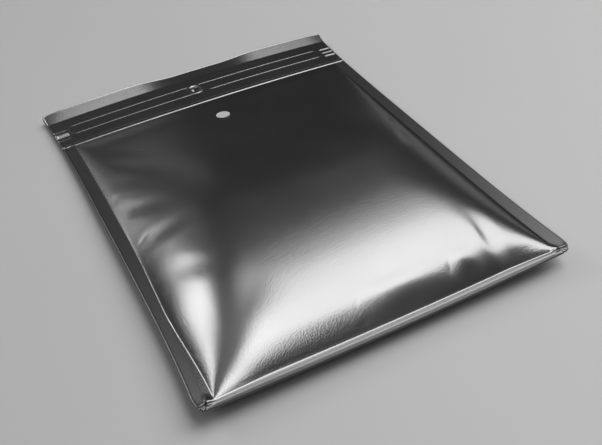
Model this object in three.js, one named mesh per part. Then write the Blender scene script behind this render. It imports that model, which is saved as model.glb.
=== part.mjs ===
// Anti static film bag: a sealed, air-filled pillow with welded side and bottom hems,
// a pressed zip header along one end, and a small round disc stuck to its front panel.
// Millimetres, +Z up, +Y towards the zip. The origin is on the table, under the middle of the bag.

import * as THREE from 'three';

// Overall sizes
const bagWidth = 203;
const bagLength = 268;
const filmThickness = 0.6;
const waist = 3;

// Welded hems
const sideSeal = 8;
const bottomSeal = 5;
const beadWidth = 1.6;
const beadHeight = 0.3;
const hemDroop = 0.9;

// Zip header, measured down from the lip's free edge
const lipDepth = 8.5;
const zipDrop = 22.95;
const zipHalfDepth = 4.75;
const zipHalfLength = 91;
const zipCorner = 3.2;
const fineRibDrop = 37.4;
const edgeRibDrop = 40.4;
const headerDepth = 41.4;
const ribWidth = 1.8;
const ribHeight = 0.4;
const fineRibWidth = 1.2;
const fineRibHeight = 0.2;
const edgeRibWidth = 2;
const edgeRibHeight = 0.4;

// Curls of the lip: where each starts and ends across the bag, and its rise at the free edge
const lipCurls = [
  { start: -96, end: -10, rise: 2.4 },
  { start: 22, end: 118, rise: 2 },
];
const lipFade = 30;
const lipRise = 0.7;

// Crushed ends of the zip: side, drop, half width and height of each ridge
const endRidges = [
  { side: -1, drop: 25.2, halfWidth: 3.4, height: 1.3 },
  { side: 1, drop: 23.8, halfWidth: 3.4, height: 0.9 },
];
const endLength = 9.5;
const endSlope = 1.2;

// Thumb mark pressed between the two zip ribs
const markSide = -4;
const markRadius = 4.8;
const markDepth = 0.9;
const markBreak = 1.7;

// The back web shows the header's relief more faintly than the front
const backReliefShare = 0.4;

// Height of the seam above the table at its corners and at the middle of each end
const seamBottomLeft = 12;
const seamBottomRight = 11.5;
const seamTopLeft = 3.4;
const seamTopRight = 4.2;
const seamBottomMiddle = 9.5;
const seamTopMiddle = 6.6;

// Pillow: reach in from each hem to full height, and how steeply it starts there
const pillowRise = 20;
const leftReach = 68;
const leftFullness = 3.2;
const leftTopFullness = 1.7;
const leftChangeStart = -60;
const leftChangeLength = 80;
const rightReach = 54;
const rightFullness = 2.3;
const bottomReach = 96;
const bottomFullness = 3.3;
const topReach = 130;
const shoulderReach = 14;
const shoulderFullness = 2;
const topShoulder = 0.08;
const bottomShoulder = 0.12;
const ridgeSharpness = 1.3;
const leastShare = 1e-6;

// Underside: how far in from each hem the bag lies flat on the table
const underSideReach = 46;
const underBottomReach = 58;
const underTopReach = 66;
const underFullness = 2;

// The left hem narrows towards the bottom
const seamPull = 2;
const seamPullFade = 16;
const seamPullStart = -10;
const seamPullLength = 80;

// Gathered corners at the bottom hem
const cornerReach = 9;
const cornerRise = 0.35;
const tuckDrop = 1.6;
const tuckReach = 40;
const apexInset = 1.5;
const apexReach = 50;
const knotRadius = 3.6;
const knotHeight = 1;

// Round disc on the front panel
const discRadius = 4.3;
const discThickness = 0.4;
const discSide = -2.3;
const discDrop = 67;
const discGap = 0.35;
const discSegments = 36;

// Spacing of the surface grid, and the least gap between two of its lines
const coarseStep = 7;
const fineStep = 3.2;
const leastStep = 0.25;

const halfWidth = bagWidth / 2;
const halfLength = bagLength / 2;
const panelTop = halfLength - headerDepth;
const panelBottom = -halfLength + bottomSeal;
const panelHalf = halfWidth - sideSeal;
const zipLine = halfLength - zipDrop;

const clamp01 = (value) => THREE.MathUtils.clamp(value, 0, 1);
const smooth = (value) => THREE.MathUtils.smoothstep(value, 0, 1);
const lerp = THREE.MathUtils.lerp;

// A rounded bump: 1 in its middle and 0 from one radius out
function bump(distance, radius) {
  return smooth(1 - Math.abs(distance) / radius);
}

// How full the film is at a distance from a hem, from 0 on the hem to 1 at its reach
function fullness(distance, reach, power) {
  return 1 - Math.pow(1 - clamp01(distance / reach), power);
}

// Middle height of the two welded webs
function seamHeight(x, y) {
  const across = clamp01((x + halfWidth) / bagWidth);
  const along = clamp01((y + halfLength) / bagLength);
  const bottomEnd = lerp(seamBottomLeft, seamBottomRight, across);
  const topEnd = lerp(seamTopLeft, seamTopRight, across);
  const side = lerp(bottomEnd, topEnd, along);
  const bottomArch = seamBottomMiddle - (seamBottomLeft + seamBottomRight) / 2;
  const topArch = seamTopMiddle - (seamTopLeft + seamTopRight) / 2;
  return side + lerp(bottomArch, topArch, along) * 4 * across * (1 - across);
}

// Distances in from the four hems, at a point of the panel
function insets(x, y) {
  return {
    left: x + panelHalf,
    right: panelHalf - x,
    bottom: y - panelBottom,
    top: panelTop - y,
  };
}

// Rise of the front web, whose flanks meet in cones at the corners
function pillow(x, y) {
  const inset = insets(x, y);
  const lowFlank = fullness(inset.bottom, bottomReach, bottomFullness);
  const lowShoulder = fullness(inset.bottom, shoulderReach, shoulderFullness);
  const highShoulder = fullness(inset.top, shoulderReach, shoulderFullness);
  const leftChange = smooth((y - leftChangeStart) / leftChangeLength);
  const toApex = inset.left - apexInset * smooth(1 - inset.bottom / apexReach);
  const shares = [
    fullness(toApex, leftReach, lerp(leftFullness, leftTopFullness, leftChange)),
    fullness(inset.right, rightReach, rightFullness),
    lerp(lowFlank, lowShoulder, bottomShoulder),
    lerp(smooth(inset.top / topReach), highShoulder, topShoulder),
  ];
  let lack = 0;
  for (const share of shares) {
    lack += Math.pow(1 / Math.max(share, leastShare) - 1, ridgeSharpness);
  }
  return pillowRise / (1 + Math.pow(lack, 1 / ridgeSharpness));
}

// Share of the way down from the seam to the table, on the lower web
function underside(x, y) {
  const inset = insets(x, y);
  const left = fullness(inset.left, underSideReach, underFullness);
  const right = fullness(inset.right, underSideReach, underFullness);
  const bottom = fullness(inset.bottom, underBottomReach, underFullness);
  const top = fullness(inset.top, underTopReach, underFullness);
  return left * right * bottom * top;
}

// Folds drawn into the pillow by its hems; turn is from +X in degrees, and a negative depth stands up
const creases = [
  { x: -74, y: -60, length: 44, width: 20, turn: -42, depth: 0.5 },
  { x: -74, y: -24, length: 46, width: 20, turn: -6, depth: 0.5 },
  { x: 78, y: -18, length: 36, width: 12, turn: 66, depth: 0.6 },
  { x: 8, y: -118, length: 62, width: 18, turn: 0, depth: -0.9 },
  { x: 45, y: -118, length: 18, width: 16, turn: 0, depth: -0.8 },
  { x: 66, y: -108, length: 42, width: 13, turn: 86, depth: 0.8 },
];

const creaseShare = 0.35;
const creaseFade = 3;

// None of the folds takes away more than a share of the pillow's rise
function creaseRelief(x, y, body) {
  let depth = 0;
  for (const crease of creases) {
    const turn = THREE.MathUtils.degToRad(crease.turn);
    const along = (x - crease.x) * Math.cos(turn) + (y - crease.y) * Math.sin(turn);
    const across = (y - crease.y) * Math.cos(turn) - (x - crease.x) * Math.sin(turn);
    depth += crease.depth * bump(along, crease.length / 2) * bump(across, crease.width / 2);
  }
  return -Math.min(depth, body * creaseShare) * clamp01(body / creaseFade);
}

// The lip bends up from the header at a crisp line
function lipRelief(x, y) {
  let rise = lipRise;
  for (const curl of lipCurls) {
    rise += curl.rise * smooth((x - curl.start) / lipFade) * smooth((curl.end - x) / lipFade);
  }
  return rise * clamp01(1 - (halfLength - y) / lipDepth);
}

// Distance from the zip's closed loop of rib
function loopDistance(x, y) {
  const overX = Math.abs(x) - (zipHalfLength - zipCorner);
  const overY = Math.abs(y - zipLine) - (zipHalfDepth - zipCorner);
  const outside = Math.hypot(Math.max(overX, 0), Math.max(overY, 0));
  const inside = Math.min(Math.max(overX, overY), 0);
  return Math.abs(outside + inside - zipCorner);
}

// Ridges crushed into both ends of the zip
function endRelief(x, y) {
  let relief = 0;
  for (const ridge of endRidges) {
    const reach = smooth((ridge.side * x - (halfWidth - endLength)) / endSlope);
    relief += ridge.height * bump(y - (halfLength - ridge.drop), ridge.halfWidth) * reach;
  }
  return relief;
}

// Everything pressed into the header above the panel
function headerRelief(x, y) {
  if (y < panelTop - edgeRibWidth) {
    return 0;
  }
  const fromMark = Math.hypot(x - markSide, y - zipLine);
  const beyondMark = smooth((fromMark - markRadius) / markBreak);
  const loop = ribHeight * bump(loopDistance(x, y), ribWidth / 2) * beyondMark;
  const dent = markDepth * bump(fromMark, markRadius);
  const fine = fineRibHeight * bump(y - (halfLength - fineRibDrop), fineRibWidth / 2);
  const edge = edgeRibHeight * bump(y - (halfLength - edgeRibDrop), edgeRibWidth / 2);
  return lipRelief(x, y) + loop - dent + endRelief(x, y) + fine + edge;
}

// A raised bead along the inner edge of each weld, and the droop of the bottom weld
function hemRelief(x, y) {
  const inset = insets(x, y);
  const side = Math.max(bump(inset.left, beadWidth), bump(inset.right, beadWidth));
  const beyondBottom = 1 - smooth(-inset.bottom / beadWidth);
  const beyondTop = 1 - smooth(-inset.top / beadWidth);
  const bead = beadHeight * Math.max(side * beyondBottom * beyondTop, bump(inset.bottom, beadWidth));
  return bead - hemDroop * clamp01(-inset.bottom / bottomSeal);
}

// Film gathered into a knot at a bottom corner of the panel
function cornerGather(x, y) {
  return knotHeight * bump(Math.hypot(Math.abs(x) - panelHalf, panelBottom - y), knotRadius);
}

// Front web
function upperHeight(x, y) {
  const web = seamHeight(x, y) + filmThickness / 2;
  const body = pillow(x, y);
  return web + body + creaseRelief(x, y, body) + headerRelief(x, y) + hemRelief(x, y) + cornerGather(x, y);
}

// Back web, which bellies down to the table
function lowerHeight(x, y) {
  const web = seamHeight(x, y) - filmThickness / 2;
  const pressed = cornerGather(x, y) - backReliefShare * headerRelief(x, y);
  return (web + pressed) * (1 - underside(x, y));
}

// How far the left seam is drawn out towards the edge
function leftPull(column, row) {
  const outer = clamp01((column + halfWidth) / sideSeal);
  const inner = smooth(1 - (column + panelHalf) / seamPullFade);
  return seamPull * outer * inner * smooth((seamPullStart - row) / seamPullLength);
}

// Pulls the waist in, draws the left seam out, drops the bottom corners and rounds them off
function place(column, row) {
  const toSide = halfWidth - Math.abs(column);
  const toEnd = row + halfLength;
  const overX = clamp01(1 - toSide / cornerReach);
  const overY = clamp01(1 - toEnd / cornerReach);
  const square = Math.max(overX, overY, leastShare);
  const cut = cornerReach * (1 - square / Math.max(Math.hypot(overX, overY), leastShare));
  const drop = tuckDrop * smooth(1 - toSide / tuckReach) * bump(row - panelBottom, bottomSeal);
  const half = halfWidth - waist * (1 - Math.pow(row / halfLength, 4));
  const x = column * half / halfWidth - Math.sign(column) * overX * cut - leftPull(column, row);
  return [x, row - drop + cornerRise * overY * cut];
}

// Positions from one named line to the next, each gap cut into equal steps
function gridLines(lines, stepFor) {
  const sorted = [...lines].sort((a, b) => a - b);
  const positions = [sorted[0]];
  for (let i = 1; i < sorted.length; i += 1) {
    const start = positions[positions.length - 1];
    const gap = sorted[i] - start;
    if (gap > leastStep) {
      const count = Math.ceil(gap / stepFor((start + sorted[i]) / 2));
      for (let step = 1; step <= count; step += 1) {
        positions.push(start + gap * step / count);
      }
    }
  }
  return positions;
}

// Both flanks and the crest of a rib, as grid lines
function ribLines(middle, width) {
  return [middle - width / 2, middle - width / 6, middle + width / 6, middle + width / 2];
}

function columnPositions() {
  const knot = panelHalf - knotRadius;
  const lines = [-halfWidth, halfWidth, markSide - markRadius, markSide, markSide + markRadius];
  for (const side of [-1, 1]) {
    lines.push(side * (panelHalf + beadWidth), side * panelHalf, side * (panelHalf - beadWidth));
    lines.push(side * zipHalfLength, side * (zipHalfLength - zipCorner), side * knot);
  }
  const isFine = (x) => Math.abs(x) > knot || Math.abs(x - markSide) < markRadius;
  return gridLines(lines, (x) => (isFine(x) ? fineStep : coarseStep));
}

function rowPositions() {
  const flank = panelBottom + shoulderReach;
  const lines = [
    -halfLength, panelBottom - beadWidth, panelBottom, panelBottom + beadWidth, flank,
    panelTop,
    ...ribLines(halfLength - edgeRibDrop, edgeRibWidth),
    ...ribLines(halfLength - fineRibDrop, fineRibWidth),
    ...ribLines(zipLine - zipHalfDepth, ribWidth),
    zipLine,
    ...ribLines(zipLine + zipHalfDepth, ribWidth),
    halfLength - lipDepth, halfLength,
  ];
  return gridLines(lines, (y) => (y < flank ? fineStep : coarseStep));
}

// Two webs on one grid, joined by a narrow wall around the outline
function makeBag() {
  const columns = columnPositions();
  const rows = rowPositions();
  const across = columns.length;
  const layer = across * rows.length;
  const positions = [];
  for (const height of [upperHeight, lowerHeight]) {
    for (const row of rows) {
      for (const column of columns) {
        const [x, y] = place(column, row);
        positions.push(x, y, height(column, row));
      }
    }
  }

  const indices = [];
  const quad = (a, b, c, d) => indices.push(a, b, c, a, c, d);
  const at = (column, row) => row * across + column;
  for (let row = 0; row + 1 < rows.length; row += 1) {
    for (let column = 0; column + 1 < across; column += 1) {
      const [a, b] = [at(column, row), at(column + 1, row)];
      const [c, d] = [at(column + 1, row + 1), at(column, row + 1)];
      quad(a, b, c, d);
      quad(layer + a, layer + d, layer + c, layer + b);
    }
  }
  const wall = (a, b) => quad(a, layer + a, layer + b, b);
  for (let column = 0; column + 1 < across; column += 1) {
    wall(at(column, 0), at(column + 1, 0));
    wall(at(column + 1, rows.length - 1), at(column, rows.length - 1));
  }
  for (let row = 0; row + 1 < rows.length; row += 1) {
    wall(at(0, row + 1), at(0, row));
    wall(at(across - 1, row), at(across - 1, row + 1));
  }

  const geometry = new THREE.BufferGeometry();
  geometry.setAttribute('position', new THREE.Float32BufferAttribute(positions, 3));
  geometry.setIndex(indices);
  geometry.computeVertexNormals();
  const film = new THREE.MeshStandardMaterial({ color: 0x6f7072, roughness: 0.3, metalness: 1 });
  const mesh = new THREE.Mesh(geometry, film);
  mesh.name = 'bag';
  return mesh;
}

// Disc laid on the slope of the panel
function makeDisc() {
  const column = discSide;
  const row = halfLength - discDrop;
  const reach = discRadius;
  const slopeX = (upperHeight(column + reach, row) - upperHeight(column - reach, row)) / (2 * reach);
  const slopeY = (upperHeight(column, row + reach) - upperHeight(column, row - reach)) / (2 * reach);
  const normal = new THREE.Vector3(-slopeX, -slopeY, 1).normalize();
  const [x, y] = place(column, row);
  const geometry = new THREE.CylinderGeometry(discRadius, discRadius, discThickness, discSegments);
  const paper = new THREE.MeshStandardMaterial({ color: 0xc9c9c7, roughness: 0.6, metalness: 0 });
  const mesh = new THREE.Mesh(geometry, paper);
  mesh.quaternion.setFromUnitVectors(new THREE.Vector3(0, 1, 0), normal);
  mesh.position.set(x, y, upperHeight(column, row)).addScaledVector(normal, discGap + discThickness / 2);
  mesh.name = 'round_disc';
  return mesh;
}

const bag = new THREE.Group();
bag.add(makeBag(), makeDisc());

export default bag;
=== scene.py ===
# A sealed, air-filled film bag with a zip header, lying on a pale floor in soft studio light.
# Its shape is worked out in millimetres, and TO_METRES turns the points into Blender's units.
import math

import bpy
import numpy as np
from mathutils import Matrix, Vector


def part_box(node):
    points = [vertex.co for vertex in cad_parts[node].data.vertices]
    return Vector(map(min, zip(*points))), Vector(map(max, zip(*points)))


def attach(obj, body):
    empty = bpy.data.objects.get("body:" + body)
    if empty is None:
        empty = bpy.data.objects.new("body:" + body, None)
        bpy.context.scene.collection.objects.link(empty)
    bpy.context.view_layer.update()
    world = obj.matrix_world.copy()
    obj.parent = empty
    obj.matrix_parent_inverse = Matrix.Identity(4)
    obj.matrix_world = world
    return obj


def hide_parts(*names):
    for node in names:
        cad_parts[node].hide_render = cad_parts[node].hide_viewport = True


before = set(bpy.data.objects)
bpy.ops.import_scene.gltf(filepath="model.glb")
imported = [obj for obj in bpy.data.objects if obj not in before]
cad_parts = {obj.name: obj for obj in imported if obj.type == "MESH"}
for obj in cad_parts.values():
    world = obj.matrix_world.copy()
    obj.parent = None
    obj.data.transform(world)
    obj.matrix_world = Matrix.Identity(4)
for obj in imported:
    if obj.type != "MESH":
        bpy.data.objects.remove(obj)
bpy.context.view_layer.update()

TO_METRES = 0.001


def millimetres(point):
    return [value / TO_METRES for value in point]


# Sizes from the frame
BAG_LOW, BAG_HIGH = (millimetres(corner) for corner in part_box("bag"))
BAG_WIDTH = BAG_HIGH[0] - BAG_LOW[0]
BAG_LENGTH = BAG_HIGH[1] - BAG_LOW[1]
HALF_WIDTH = BAG_WIDTH / 2
HALF_LENGTH = BAG_LENGTH / 2

# Film and welded hems
FILM = 0.6
WAIST = 3.0
WAIST_POWER = 4
SIDE_SEAL = 8.0
BOTTOM_SEAL = 5.0
BEAD_WIDTH = 1.1
BEAD_HEIGHT = 0.09
EDGE_BEAD_INSET = 0.8
EDGE_BEAD_WIDTH = 0.9
EDGE_BEAD_HEIGHT = 0.42
HEM_DROOP = 1.3
HEM_GROOVE = 1.15
HEM_GROOVE_WIDTH = 0.5
HEM_GROOVE_DEPTH = 0.2
HEM_LINES = (2.6, 3.7)
HEM_LINE_WIDTH = 0.55
HEM_LINE_HEIGHT = 0.1

# Zip header, measured down from the lip's free edge
LIP_DEPTH = 8.5
ZIP_DROP = 22.95
ZIP_HALF_DEPTH = 4.75
ZIP_HALF_LENGTH = 91.0
ZIP_CORNER = 3.2
FINE_RIB_DROP = 37.4
EDGE_RIB_DROP = 40.4
HEADER_DEPTH = 41.4
RIB_WIDTH = 1.2
RIB_HEIGHT = 0.22
FINE_RIB_WIDTH = 0.9
FINE_RIB_HEIGHT = 0.1
EDGE_RIB_WIDTH = 2.0
EDGE_RIB_HEIGHT = 0.4
BACK_RELIEF_SHARE = 0.4

# Curls of the lip: where each starts and ends across the bag, and its rise at the free edge
LIP_CURLS = ((-118.0, -10.0, 2.4), (22.0, 118.0, 2.0))
LIP_FADE = 30.0
LIP_RISE = 0.7

# Half the gap between the two lowest ribs, by distance from the left edge
END_PINCH = ((0.0, 0.5), (3.0, 1.3), (5.5, 0.7), (8.0, 1.5))

# Crushed ends of the zip: side, drop, half width and height of each ridge
END_RIDGES = (
    (-1, 20.4, 1.3, 0.45),
    (-1, 25.2, 3.4, 1.3),
    (-1, 30.8, 1.3, 0.35),
    (1, 19.2, 1.7, 0.6),
    (1, 23.8, 1.8, 0.6),
    (1, 28.5, 1.7, 0.6),
)
END_LENGTH = 9.5
END_SLOPE = 1.2

# Thumb mark pressed between the zip ribs, and the hook where the lower rib starts again
MARK_SIDE = -4.0
MARK_RADIUS = 4.8
MARK_RIM = 1.1
MARK_RIM_HEIGHT = 0.4
MARK_DEPTH = 0.9
MARK_BREAK = 1.7
KNOB_SIDE = -5.8
KNOB_RADIUS = 2.4
KNOB_HEIGHT = 1.4
HOOK_SIDE = 7.0
HOOK_RADIUS = 4.0

# Height of the seam above the floor
SEAM_BOTTOM_LEFT = 12.0
SEAM_BOTTOM_RIGHT = 11.5
SEAM_TOP_LEFT = 3.4
SEAM_TOP_RIGHT = 4.2
SEAM_BOTTOM_MIDDLE = 9.5
SEAM_TOP_MIDDLE = 6.6

# Pillow: reach in from each hem to full height, and how steeply it starts there
PILLOW_RISE = 20.0
LEFT_REACH = 68.0
LEFT_FULLNESS = 3.2
LEFT_TOP_FULLNESS = 1.7
LEFT_CHANGE_START = -80.0
LEFT_CHANGE_LENGTH = 100.0
RIGHT_REACH = 54.0
RIGHT_FULLNESS = 2.3
BOTTOM_REACH = 96.0
BOTTOM_FULLNESS = 3.3
TOP_REACH = 130.0
SHOULDER_REACH = 14.0
SHOULDER_FULLNESS = 2.0
TOP_SHOULDER = 0.08
BOTTOM_SHOULDER = 0.12
RIDGE_SHARPNESS = 1.3
LEAST_SHARE = 1e-6
UNDER_SIDE_REACH = 46.0
UNDER_BOTTOM_REACH = 58.0
UNDER_TOP_REACH = 66.0
UNDER_FULLNESS = 2.0

# The left hem narrows towards the bottom
SEAM_PULL = 2.0
SEAM_PULL_FADE = 16.0
SEAM_PULL_START = -10.0
SEAM_PULL_LENGTH = 80.0

# Gathered corners at the bottom hem
CORNER_REACH = 9.0
CORNER_RISE = 0.35
TUCK_DROP = 1.6
TUCK_REACH = 40.0
APEX_INSET = 2.8
APEX_REACH = 60.0
KNOT_RADIUS = 3.6
KNOT_HEIGHT = 1.0
PLEAT_COUNT = 12
PLEAT_START = 6.5
PLEAT_REACH = 5.5
PLEAT_HEIGHT = 0.45

# Folds: x, y, length, width, turn in degrees from +X, depth; one with a negative depth stands up
CREASES = (
    (-74, -60, 44, 20, -42, 0.3),
    (-74, -24, 46, 20, -6, 0.35),
    (-88, -19, 15, 3.0, 22, 0.1),
    (-91, 23, 12, 7, 60, 0.15),
    (-78, 4, 44, 18, -39, 0.35),
    (-76, 30, 48, 18, -42, 0.3),
    (-73, 56, 56, 20, -50, 0.3),
    (84, 5, 14, 8, 62, 0.8),
    (78, -18, 36, 12, 66, 0.6),
    (8, -118, 62, 18, 0, -0.9),
    (36, -120, 9, 5, 80, 0.2),
    (45, -118, 18, 16, 0, -0.8),
    (58.5, -109, 44, 13, 88, -0.5),
    (66, -112, 38, 15, 84, 0.9),
    (-15, -126, 14, 5, 20, 0.12),
    (-14, -117, 7, 2.2, 60, 0.12),
)
CREASE_SHARE = 0.35
CREASE_FADE = 3.0

# Steps of the mesh, and how far the fine ones reach around what needs them
HEM_STEP = 0.4
HEM_MARGIN = 4.0
PANEL_STEP = 1.1
MARK_STEP = 0.6
MARK_MARGIN = 6.0
HOOK_MARGIN = 3.0
BOTTOM_STEP = 0.3
BOTTOM_MARGIN = 2.0
FLANK_STEP = 0.8
FLANK_MARGIN = 30.0
LENGTH_STEP = 1.25
RIB_STEP = 0.24
RIB_MARGIN = 1.2
HEADER_STEP = 0.7
LIP_STEP = 1.0

# Film finish: noise in waves to the metre, bump depth in metres, and the lowest and highest tones
SMUDGE_SCALE = 28.0
PEBBLE_SCALE = 1250.0
PEBBLE_DEPTH = 0.00012
PEBBLE_STRENGTH = 0.5
EDGE_TINT = 0.45
PANEL_TONES = (0.27, 0.33)
WELD_TONES = (0.18, 0.25)
PANEL_ROUGHNESS = (0.22, 0.28)
WELD_ROUGHNESS = (0.3, 0.4)

# Disc and floor finishes
DISC_SCALE = 900.0
DISC_TONES = (0.5, 0.68)
DISC_ROUGHNESS = (0.45, 0.6)
DISC_DEPTH = 0.0001
DISC_STRENGTH = 0.3
FLOOR_SCALE = 3.0
FLOOR_TONES = (0.58, 0.62)
FLOOR_ROUGHNESS = (0.55, 0.65)

# Camera that matches the photo, with two sizes in pixels
PICTURE_WIDTH = 602
FOCAL_LENGTH = 819.6

# Its sensor and place in millimetres, and its angles in degrees
SENSOR_WIDTH = 36.0
CAMERA_PLACE = (-145.0, -341.7, 297.3)
CAMERA_YAW = 25.13
CAMERA_PITCH = 41.37
CAMERA_ROLL = -3.62

# Studio in metres, with the name, middle, size and radiance of each softbox
CLIP_START = 0.01
FLOOR_HALF = 12.0
DOWNWARD_BOXES = (
    ("overhead", (1.12, -0.03, 1.2), (1.75, 0.95), 2.7),
    ("near", (0.135, -0.4, 1.2), (0.36, 1.0), 3.4),
    ("overhead_fade", (1.2, 0.63, 1.2), (1.7, 0.34), 1.0),
    ("header", (0.08, 0.56, 1.2), (0.35, 0.24), 1.4),
    ("glow", (-0.2, 0.25, 1.25), (0.9, 1.1), 0.25),
)
INWARD_BOXES = (
    ("left", (-0.74, 0.794, 0.803), (0.43, 0.42), 4.2),
    ("left_fade", (-0.396, 1.058, 0.735), (0.42, 0.57), 0.15),
    ("far", (0.0, 1.5, 0.38), (0.5, 0.3), 0.3),
)
WORLD_TONE = 0.07

PANEL_TOP = HALF_LENGTH - HEADER_DEPTH
PANEL_BOTTOM = -HALF_LENGTH + BOTTOM_SEAL
PANEL_HALF = HALF_WIDTH - SIDE_SEAL
ZIP_LINE = HALF_LENGTH - ZIP_DROP


def clamp01(value):
    return np.clip(value, 0.0, 1.0)


def smooth(value):
    t = clamp01(value)
    return t * t * (3.0 - 2.0 * t)


def mix(a, b, share):
    return a + (b - a) * share


def bump(distance, radius):
    """1 in the middle and 0 from one radius out."""
    return smooth(1.0 - np.abs(distance) / radius)


def fullness(distance, reach, power):
    """How full the film is at a distance from a hem: 0 on the hem, 1 at its reach."""
    return 1.0 - (1.0 - clamp01(distance / reach)) ** power


def seam_height(x, y):
    across = clamp01((x + HALF_WIDTH) / BAG_WIDTH)
    along = clamp01((y + HALF_LENGTH) / BAG_LENGTH)
    bottom_end = mix(SEAM_BOTTOM_LEFT, SEAM_BOTTOM_RIGHT, across)
    top_end = mix(SEAM_TOP_LEFT, SEAM_TOP_RIGHT, across)
    bottom_arch = SEAM_BOTTOM_MIDDLE - (SEAM_BOTTOM_LEFT + SEAM_BOTTOM_RIGHT) / 2
    top_arch = SEAM_TOP_MIDDLE - (SEAM_TOP_LEFT + SEAM_TOP_RIGHT) / 2
    arch = 4 * across * (1 - across)
    return mix(bottom_end, top_end, along) + mix(bottom_arch, top_arch, along) * arch


def insets(x, y):
    """Distances in from the left, right, bottom and top of the panel."""
    return x + PANEL_HALF, PANEL_HALF - x, y - PANEL_BOTTOM, PANEL_TOP - y


def pillow(x, y):
    """Rise of the front web, whose flanks meet in cones at the corners."""
    to_left, to_right, to_bottom, to_top = insets(x, y)
    bottom_shoulder = fullness(to_bottom, SHOULDER_REACH, SHOULDER_FULLNESS)
    top_shoulder = fullness(to_top, SHOULDER_REACH, SHOULDER_FULLNESS)
    change = smooth((y - LEFT_CHANGE_START) / LEFT_CHANGE_LENGTH)
    left_fullness = mix(LEFT_FULLNESS, LEFT_TOP_FULLNESS, change)
    to_apex = to_left - APEX_INSET * smooth(1 - to_bottom / APEX_REACH)
    shares = (
        fullness(to_apex, LEFT_REACH, left_fullness),
        fullness(to_right, RIGHT_REACH, RIGHT_FULLNESS),
        mix(fullness(to_bottom, BOTTOM_REACH, BOTTOM_FULLNESS), bottom_shoulder, BOTTOM_SHOULDER),
        mix(smooth(to_top / TOP_REACH), top_shoulder, TOP_SHOULDER),
    )
    lack = sum((1.0 / np.maximum(share, LEAST_SHARE) - 1.0) ** RIDGE_SHARPNESS for share in shares)
    return PILLOW_RISE / (1.0 + lack ** (1.0 / RIDGE_SHARPNESS))


def underside(x, y):
    to_left, to_right, to_bottom, to_top = insets(x, y)
    return (
        fullness(to_left, UNDER_SIDE_REACH, UNDER_FULLNESS)
        * fullness(to_right, UNDER_SIDE_REACH, UNDER_FULLNESS)
        * fullness(to_bottom, UNDER_BOTTOM_REACH, UNDER_FULLNESS)
        * fullness(to_top, UNDER_TOP_REACH, UNDER_FULLNESS)
    )


def crease_relief(x, y, body):
    """Folds drawn into the pillow by its hems; none takes away more than a share of the rise."""
    depth = np.zeros_like(x)
    for middle_x, middle_y, length, width, turn, deep in CREASES:
        cosine, sine = math.cos(math.radians(turn)), math.sin(math.radians(turn))
        along = (x - middle_x) * cosine + (y - middle_y) * sine
        across = (y - middle_y) * cosine - (x - middle_x) * sine
        depth += deep * bump(along, length / 2) * bump(across, width / 2)
    return -np.minimum(depth, body * CREASE_SHARE) * clamp01(body / CREASE_FADE)


def lip_relief(x, y):
    """The lip bends up from the header at a crisp line."""
    rise = LIP_RISE
    for start, end, height in LIP_CURLS:
        fade = min(LIP_FADE, (end - start) / 2)
        rise = rise + height * smooth((x - start) / fade) * smooth((end - x) / fade)
    return rise * clamp01(1.0 - (HALF_LENGTH - y) / LIP_DEPTH)


def loop_distance(x, y):
    """Distance from the zip's closed loop of rib."""
    over_x = np.abs(x) - (ZIP_HALF_LENGTH - ZIP_CORNER)
    over_y = np.abs(y - ZIP_LINE) - (ZIP_HALF_DEPTH - ZIP_CORNER)
    outside = np.hypot(np.maximum(over_x, 0.0), np.maximum(over_y, 0.0))
    inside = np.minimum(np.maximum(over_x, over_y), 0.0)
    return np.abs(outside + inside - ZIP_CORNER)


def mark_relief(x, y):
    """Height of the thumb mark, and the share of the ribs that it leaves."""
    radius = np.hypot(x - MARK_SIDE, y - ZIP_LINE)
    rim = MARK_RIM_HEIGHT * bump(radius - MARK_RADIUS, MARK_RIM)
    dent = MARK_DEPTH * bump(radius, MARK_RADIUS)
    knob = KNOB_HEIGHT * bump(np.hypot(x - KNOB_SIDE, y - ZIP_LINE), KNOB_RADIUS)
    left = smooth((radius - MARK_RADIUS) / MARK_BREAK)
    return rim - dent + knob, left


def hook_relief(x, y):
    """The lower rib starts again right of the mark with a hook that curls up and back."""
    middle = ZIP_LINE - ZIP_HALF_DEPTH + HOOK_RADIUS
    ring = bump(np.hypot(x - HOOK_SIDE, y - middle) - HOOK_RADIUS, RIB_WIDTH / 2)
    left_half = 1 - smooth((x - HOOK_SIDE) / RIB_WIDTH)
    lower_half = 1 - smooth((y - middle) / RIB_WIDTH)
    return RIB_HEIGHT * ring * left_half * lower_half


def end_relief(x, y):
    """Ridges crushed into both ends of the zip."""
    relief = np.zeros_like(x)
    for side, drop, half_width, height in END_RIDGES:
        reach = smooth((side * x - (HALF_WIDTH - END_LENGTH)) / END_SLOPE)
        relief += height * bump(y - (HALF_LENGTH - drop), half_width) * reach
    return relief


def low_ribs(x, y):
    """The fine rib and the header's edge, which pinch together at the left end."""
    edges, gaps = zip(*END_PINCH)
    half_gap = np.interp(x + HALF_WIDTH, edges, gaps)
    middle = HALF_LENGTH - (FINE_RIB_DROP + EDGE_RIB_DROP) / 2
    fine = FINE_RIB_HEIGHT * bump(y - (middle + half_gap), FINE_RIB_WIDTH / 2)
    return fine + EDGE_RIB_HEIGHT * bump(y - (middle - half_gap), EDGE_RIB_WIDTH / 2)


def header_relief(x, y):
    mark, left = mark_relief(x, y)
    behind_hook = smooth((x - MARK_SIDE) / RIB_WIDTH) * (1 - smooth((x - HOOK_SIDE) / RIB_WIDTH))
    left = left * (1 - behind_hook * smooth((ZIP_LINE - y) / RIB_WIDTH))
    loop = RIB_HEIGHT * bump(loop_distance(x, y), RIB_WIDTH / 2) * left
    relief = lip_relief(x, y) + loop + mark + hook_relief(x, y) + end_relief(x, y) + low_ribs(x, y)
    return np.where(y < PANEL_TOP - EDGE_RIB_WIDTH, 0.0, relief)


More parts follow.
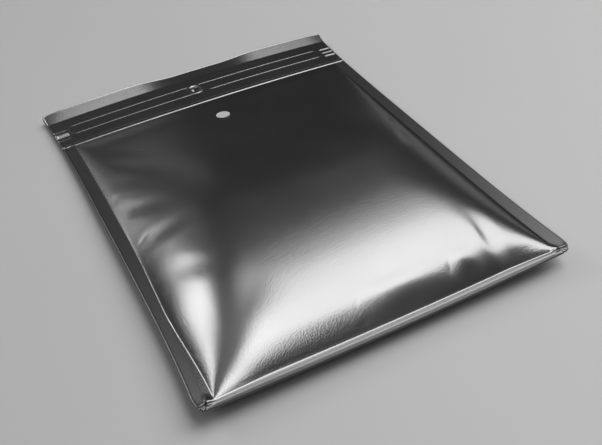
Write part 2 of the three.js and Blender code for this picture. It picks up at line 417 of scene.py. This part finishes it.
def hem_relief(x, y):
    """Beads along both edges of the side welds, and the ribbed droop of the bottom weld."""
    to_left, to_right, to_bottom, to_top = insets(x, y)
    side = np.maximum(bump(to_left, BEAD_WIDTH), bump(to_right, BEAD_WIDTH))
    side = side * (1 - smooth(-to_bottom / BEAD_WIDTH)) * (1 - smooth(-to_top / BEAD_WIDTH))
    beads = BEAD_HEIGHT * np.maximum(side, bump(to_bottom, BEAD_WIDTH))
    to_edge = np.minimum(HALF_WIDTH - np.abs(x), y + HALF_LENGTH)
    rim = EDGE_BEAD_HEIGHT * bump(to_edge - EDGE_BEAD_INSET, EDGE_BEAD_WIDTH)
    lines = sum(bump(-to_bottom - line, HEM_LINE_WIDTH) for line in HEM_LINES)
    groove = HEM_GROOVE_DEPTH * bump(-to_bottom - HEM_GROOVE, HEM_GROOVE_WIDTH)
    droop = HEM_DROOP * clamp01(-to_bottom / BOTTOM_SEAL)
    return beads + rim + HEM_LINE_HEIGHT * lines - groove - droop


def corner_gather(x, y):
    """A knot at each bottom corner of the panel, with pleats fanned out across the hems."""
    from_x = np.abs(x) - PANEL_HALF
    from_y = PANEL_BOTTOM - y
    radius = np.hypot(from_x, from_y)
    fan = np.cos(PLEAT_COUNT * np.arctan2(from_y, from_x)) * smooth(from_x) * smooth(from_y)
    pleats = PLEAT_HEIGHT * fan * bump(radius - PLEAT_START, PLEAT_REACH)
    return KNOT_HEIGHT * bump(radius, KNOT_RADIUS) + pleats


def upper_height(x, y):
    body = pillow(x, y)
    web = seam_height(x, y) + FILM / 2
    panel = web + body + crease_relief(x, y, body)
    return panel + header_relief(x, y) + hem_relief(x, y) + corner_gather(x, y)


def lower_height(x, y):
    web = seam_height(x, y) - FILM / 2
    return (web + corner_gather(x, y) - BACK_RELIEF_SHARE * header_relief(x, y)) * (1 - underside(x, y))


def weld_share(x, y):
    """1 on the side and bottom welds, 0 on the panel and the header."""
    to_left, to_right, to_bottom, to_top = insets(x, y)
    side = np.maximum(smooth(-to_left / BEAD_WIDTH), smooth(-to_right / BEAD_WIDTH))
    return np.maximum(side * smooth(to_top / BEAD_WIDTH), smooth(-to_bottom / BEAD_WIDTH))


def seam_pull(column, row):
    """How far the left seam is drawn out towards the edge."""
    outer = clamp01((column + HALF_WIDTH) / SIDE_SEAL)
    inner = smooth(1 - (column + PANEL_HALF) / SEAM_PULL_FADE)
    return SEAM_PULL * outer * inner * smooth((SEAM_PULL_START - row) / SEAM_PULL_LENGTH)


def placed(column, row):
    """Pulls the waist in, draws the left seam out, drops the bottom corners and rounds them off."""
    to_side = HALF_WIDTH - np.abs(column)
    to_end = row + HALF_LENGTH
    drop = TUCK_DROP * smooth(1 - to_side / TUCK_REACH) * bump(row - PANEL_BOTTOM, BOTTOM_SEAL)
    over_x = clamp01(1 - to_side / CORNER_REACH)
    over_y = clamp01(1 - to_end / CORNER_REACH)
    square = np.maximum(np.maximum(over_x, over_y), LEAST_SHARE)
    cut = CORNER_REACH * (1 - square / np.maximum(np.hypot(over_x, over_y), LEAST_SHARE))
    half = HALF_WIDTH - WAIST * (1 - (row / HALF_LENGTH) ** WAIST_POWER)
    x = column * half / HALF_WIDTH - np.sign(column) * over_x * cut - seam_pull(column, row)
    return x, row - drop + CORNER_RISE * over_y * cut


def stations(bands):
    """Positions across bands of (start, end, step), with an even count in each band."""
    positions = [bands[0][0]]
    for start, end, step in bands:
        count = 2 * math.ceil((end - start) / step / 2)
        positions.extend(start + (end - start) * (i + 1) / count for i in range(count))
    return np.array(positions)


def column_stations():
    """Fine steps over the side hems and over the thumb mark with its hook."""
    hem = HALF_WIDTH - SIDE_SEAL - HEM_MARGIN
    mark_start = MARK_SIDE - MARK_MARGIN
    hook_end = HOOK_SIDE + HOOK_MARGIN
    return stations((
        (-HALF_WIDTH, -hem, HEM_STEP),
        (-hem, mark_start, PANEL_STEP),
        (mark_start, hook_end, MARK_STEP),
        (hook_end, hem, PANEL_STEP),
        (hem, HALF_WIDTH, HEM_STEP),
    ))


def row_stations():
    """Fine steps over each rib of the header and over the bottom hem."""
    ribs = (HEADER_DEPTH, FINE_RIB_DROP, ZIP_DROP + ZIP_HALF_DEPTH, ZIP_DROP - ZIP_HALF_DEPTH, LIP_DEPTH)
    hem_end = PANEL_BOTTOM + BOTTOM_MARGIN
    flank_end = PANEL_BOTTOM + FLANK_MARGIN
    bands = [
        (-HALF_LENGTH, hem_end, BOTTOM_STEP),
        (hem_end, flank_end, FLANK_STEP),
        (flank_end, PANEL_TOP - RIB_MARGIN, LENGTH_STEP),
    ]
    for drop in ribs:
        rib = HALF_LENGTH - drop
        if rib - RIB_MARGIN > bands[-1][1]:
            bands.append((bands[-1][1], rib - RIB_MARGIN, HEADER_STEP))
        bands.append((bands[-1][1], rib + RIB_MARGIN, RIB_STEP))
    bands.append((bands[-1][1], HALF_LENGTH, LIP_STEP))
    return stations(bands)


def web_mesh(columns, rows, height):
    column, row = np.meshgrid(columns, rows)
    x, y = placed(column, row)
    return np.stack([x, y, height(column, row)], axis=-1).reshape(-1, 3) * TO_METRES


def weld_values(columns, rows):
    column, row = np.meshgrid(columns, rows)
    return weld_share(column, row).ravel()


def build_mesh(name, points, faces, material):
    mesh = bpy.data.meshes.new(name)
    mesh.from_pydata(points.tolist(), [], faces)
    mesh.validate()
    mesh.materials.append(material)
    mesh.polygons.foreach_set("use_smooth", [True] * len(mesh.polygons))
    mesh.update()
    piece = bpy.data.objects.new(name, mesh)
    bpy.context.scene.collection.objects.link(piece)
    return piece


def grid_faces(across, along, offset=0, up=True):
    faces = []
    for row in range(along - 1):
        for column in range(across - 1):
            a = offset + row * across + column
            quad = (a, a + 1, a + across + 1, a + across)
            faces.append(quad if up else quad[::-1])
    return faces


def make_bag(material):
    columns = column_stations()
    rows = row_stations()
    back_columns = columns[::2]
    back_rows = rows[::2]
    front = web_mesh(columns, rows, upper_height)
    back = web_mesh(back_columns, back_rows, lower_height)
    across, along = len(columns), len(rows)
    back_across, back_along = len(back_columns), len(back_rows)
    faces = grid_faces(across, along) + grid_faces(back_across, back_along, len(front), up=False)

    def front_at(column, row):
        return row * across + column

    def back_at(column, row):
        return len(front) + row * back_across + column

    def wall(front_edge, back_edge):
        """Joins two front steps to each back step."""
        for i in range(len(back_edge) - 1):
            a, b, c = front_edge[2 * i:2 * i + 3]
            d, e = back_edge[i:i + 2]
            faces.extend([(b, a, d), (b, d, e), (c, b, e)])

    wall([front_at(i, 0) for i in range(across)][::-1], [back_at(i, 0) for i in range(back_across)][::-1])
    wall(
        [front_at(i, along - 1) for i in range(across)],
        [back_at(i, back_along - 1) for i in range(back_across)],
    )
    wall([front_at(0, i) for i in range(along)], [back_at(0, i) for i in range(back_along)])
    wall(
        [front_at(across - 1, i) for i in range(along)][::-1],
        [back_at(back_across - 1, i) for i in range(back_along)][::-1],
    )
    bag = build_mesh("film_bag", np.concatenate([front, back]), faces, material)
    weld = bag.data.attributes.new("weld", "FLOAT", "POINT")
    shares = [weld_values(columns, rows), weld_values(back_columns, back_rows)]
    weld.data.foreach_set("value", np.concatenate(shares))
    return bag


def new_material(name):
    material = bpy.data.materials.new(name)
    material.use_nodes = True
    return material, material.node_tree.nodes["Principled BSDF"]


def add_node(material, kind, values=None, **settings):
    """A node with its named settings, and the values of its own sockets."""
    node = material.node_tree.nodes.new(kind)
    for key, value in settings.items():
        setattr(node, key, value)
    for key, value in (values or {}).items():
        node.inputs[key].default_value = value
    return node


def noise(material, scale, detail=2.0):
    """Noise in the object's own space, with a scale in waves to the metre."""
    place = add_node(material, "ShaderNodeTexCoord")
    texture = add_node(material, "ShaderNodeTexNoise", {"Scale": scale, "Detail": detail})
    material.node_tree.links.new(place.outputs["Object"], texture.inputs["Vector"])
    return texture.outputs["Fac"]


def mapped(material, source, low, high):
    """A value from 0 to 1 spread from low to high."""
    spread = add_node(material, "ShaderNodeMapRange", {"To Min": low, "To Max": high})
    material.node_tree.links.new(source, spread.inputs["Value"])
    return spread.outputs["Result"]


def blended(material, share, low, high):
    """low where the share is 0 and high where it is 1."""
    blend = add_node(material, "ShaderNodeMix")
    for source, socket in ((share, "Factor"), (low, "A"), (high, "B")):
        material.node_tree.links.new(source, blend.inputs[socket])
    return blend.outputs["Result"]


def grey_range(material, source, low, high):
    """A grey that follows a value from 0 to 1."""
    ramp = add_node(material, "ShaderNodeValToRGB")
    ramp.color_ramp.elements[0].color = (low, low, low, 1)
    ramp.color_ramp.elements[1].color = (high, high, high, 1)
    material.node_tree.links.new(source, ramp.inputs["Fac"])
    return ramp.outputs["Color"]


def grain(material, source, depth, strength):
    """A bump of a set depth in metres."""
    bumps = add_node(material, "ShaderNodeBump", {"Distance": depth, "Strength": strength})
    material.node_tree.links.new(source, bumps.inputs["Height"])
    return bumps.outputs["Normal"]


def film_material():
    """Metallised film: a fine pebbled grain, and rougher where it is welded."""
    material, shader = new_material("metallised_film")
    links = material.node_tree.links
    weld = add_node(material, "ShaderNodeAttribute", attribute_name="weld").outputs["Fac"]
    smudges = noise(material, SMUDGE_SCALE, 3.0)
    pebbles = noise(material, PEBBLE_SCALE)
    shader.inputs["Metallic"].default_value = 1.0
    shader.inputs["Specular Tint"].default_value = (EDGE_TINT, EDGE_TINT, EDGE_TINT, 1)
    panel_tone = mapped(material, smudges, *PANEL_TONES)
    weld_tone = mapped(material, pebbles, *WELD_TONES)
    links.new(blended(material, weld, panel_tone, weld_tone), shader.inputs["Base Color"])
    panel_roughness = mapped(material, smudges, *PANEL_ROUGHNESS)
    weld_roughness = mapped(material, pebbles, *WELD_ROUGHNESS)
    links.new(blended(material, weld, panel_roughness, weld_roughness), shader.inputs["Roughness"])
    links.new(grain(material, pebbles, PEBBLE_DEPTH, PEBBLE_STRENGTH), shader.inputs["Normal"])
    return material


def disc_material():
    """Pale paper with a faint mottle."""
    material, shader = new_material("pale_disc")
    mottle = noise(material, DISC_SCALE, 3.0)
    links = material.node_tree.links
    links.new(grey_range(material, mottle, *DISC_TONES), shader.inputs["Base Color"])
    links.new(mapped(material, mottle, *DISC_ROUGHNESS), shader.inputs["Roughness"])
    links.new(grain(material, mottle, DISC_DEPTH, DISC_STRENGTH), shader.inputs["Normal"])
    return material


def floor_material():
    """Pale, even studio floor."""
    material, shader = new_material("pale_floor")
    mottle = noise(material, FLOOR_SCALE, 3.0)
    links = material.node_tree.links
    links.new(grey_range(material, mottle, *FLOOR_TONES), shader.inputs["Base Color"])
    links.new(mapped(material, mottle, *FLOOR_ROUGHNESS), shader.inputs["Roughness"])
    return material


def make_floor():
    corners = ((-1, -1, 0), (1, -1, 0), (1, 1, 0), (-1, 1, 0))
    floor = build_mesh("floor", FLOOR_HALF * np.array(corners), [(0, 1, 2, 3)], floor_material())


def make_camera():
    data = bpy.data.cameras.new("camera")
    data.sensor_width = SENSOR_WIDTH
    data.lens = FOCAL_LENGTH / PICTURE_WIDTH * SENSOR_WIDTH
    data.clip_start = CLIP_START
    camera = bpy.data.objects.new("camera", data)
    yaw, pitch, roll = (math.radians(angle) for angle in (CAMERA_YAW, CAMERA_PITCH, CAMERA_ROLL))
    reach = math.cos(pitch)
    forward = Vector((math.sin(yaw) * reach, math.cos(yaw) * reach, -math.sin(pitch)))
    level = Vector((math.cos(yaw), -math.sin(yaw), 0))
    rise = level.cross(forward)
    right = math.cos(roll) * level + math.sin(roll) * rise
    up = right.cross(forward)
    turn = Matrix((right, up, -forward)).transposed().to_4x4()
    camera.matrix_world = Matrix.Translation(Vector(CAMERA_PLACE) * TO_METRES) @ turn
    bpy.context.scene.collection.objects.link(camera)
    bpy.context.scene.camera = camera


def softbox(name, middle, size, radiance, target):
    """A rectangular lamp aimed at a target, with the watts that show this radiance."""
    data = bpy.data.lights.new(name, "AREA")
    data.shape = "RECTANGLE"
    data.size, data.size_y = size
    data.energy = radiance * math.pi * size[0] * size[1]
    light = bpy.data.objects.new(name, data)
    light.location = middle
    light.rotation_euler = (Vector(target) - Vector(middle)).to_track_quat("-Z", "Y").to_euler()
    bpy.context.scene.collection.objects.link(light)


def make_lights():
    for name, middle, size, radiance in DOWNWARD_BOXES:
        softbox(name, middle, size, radiance, target=(middle[0], middle[1], 0.0))
    for name, middle, size, radiance in INWARD_BOXES:
        softbox(name, middle, size, radiance, target=(0.0, 0.0, 0.0))


def make_world():
    world = bpy.data.worlds.new("studio")
    world.use_nodes = True
    background = world.node_tree.nodes["Background"]
    background.inputs["Color"].default_value = (WORLD_TONE, WORLD_TONE, WORLD_TONE, 1)
    bpy.context.scene.world = world


bag = make_bag(film_material())
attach(bag, "root")
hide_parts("bag")
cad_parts["round_disc"].data.materials.clear()
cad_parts["round_disc"].data.materials.append(disc_material())

make_floor()
make_camera()
make_lights()
make_world()
bpy.context.scene.view_settings.view_transform = "Standard"
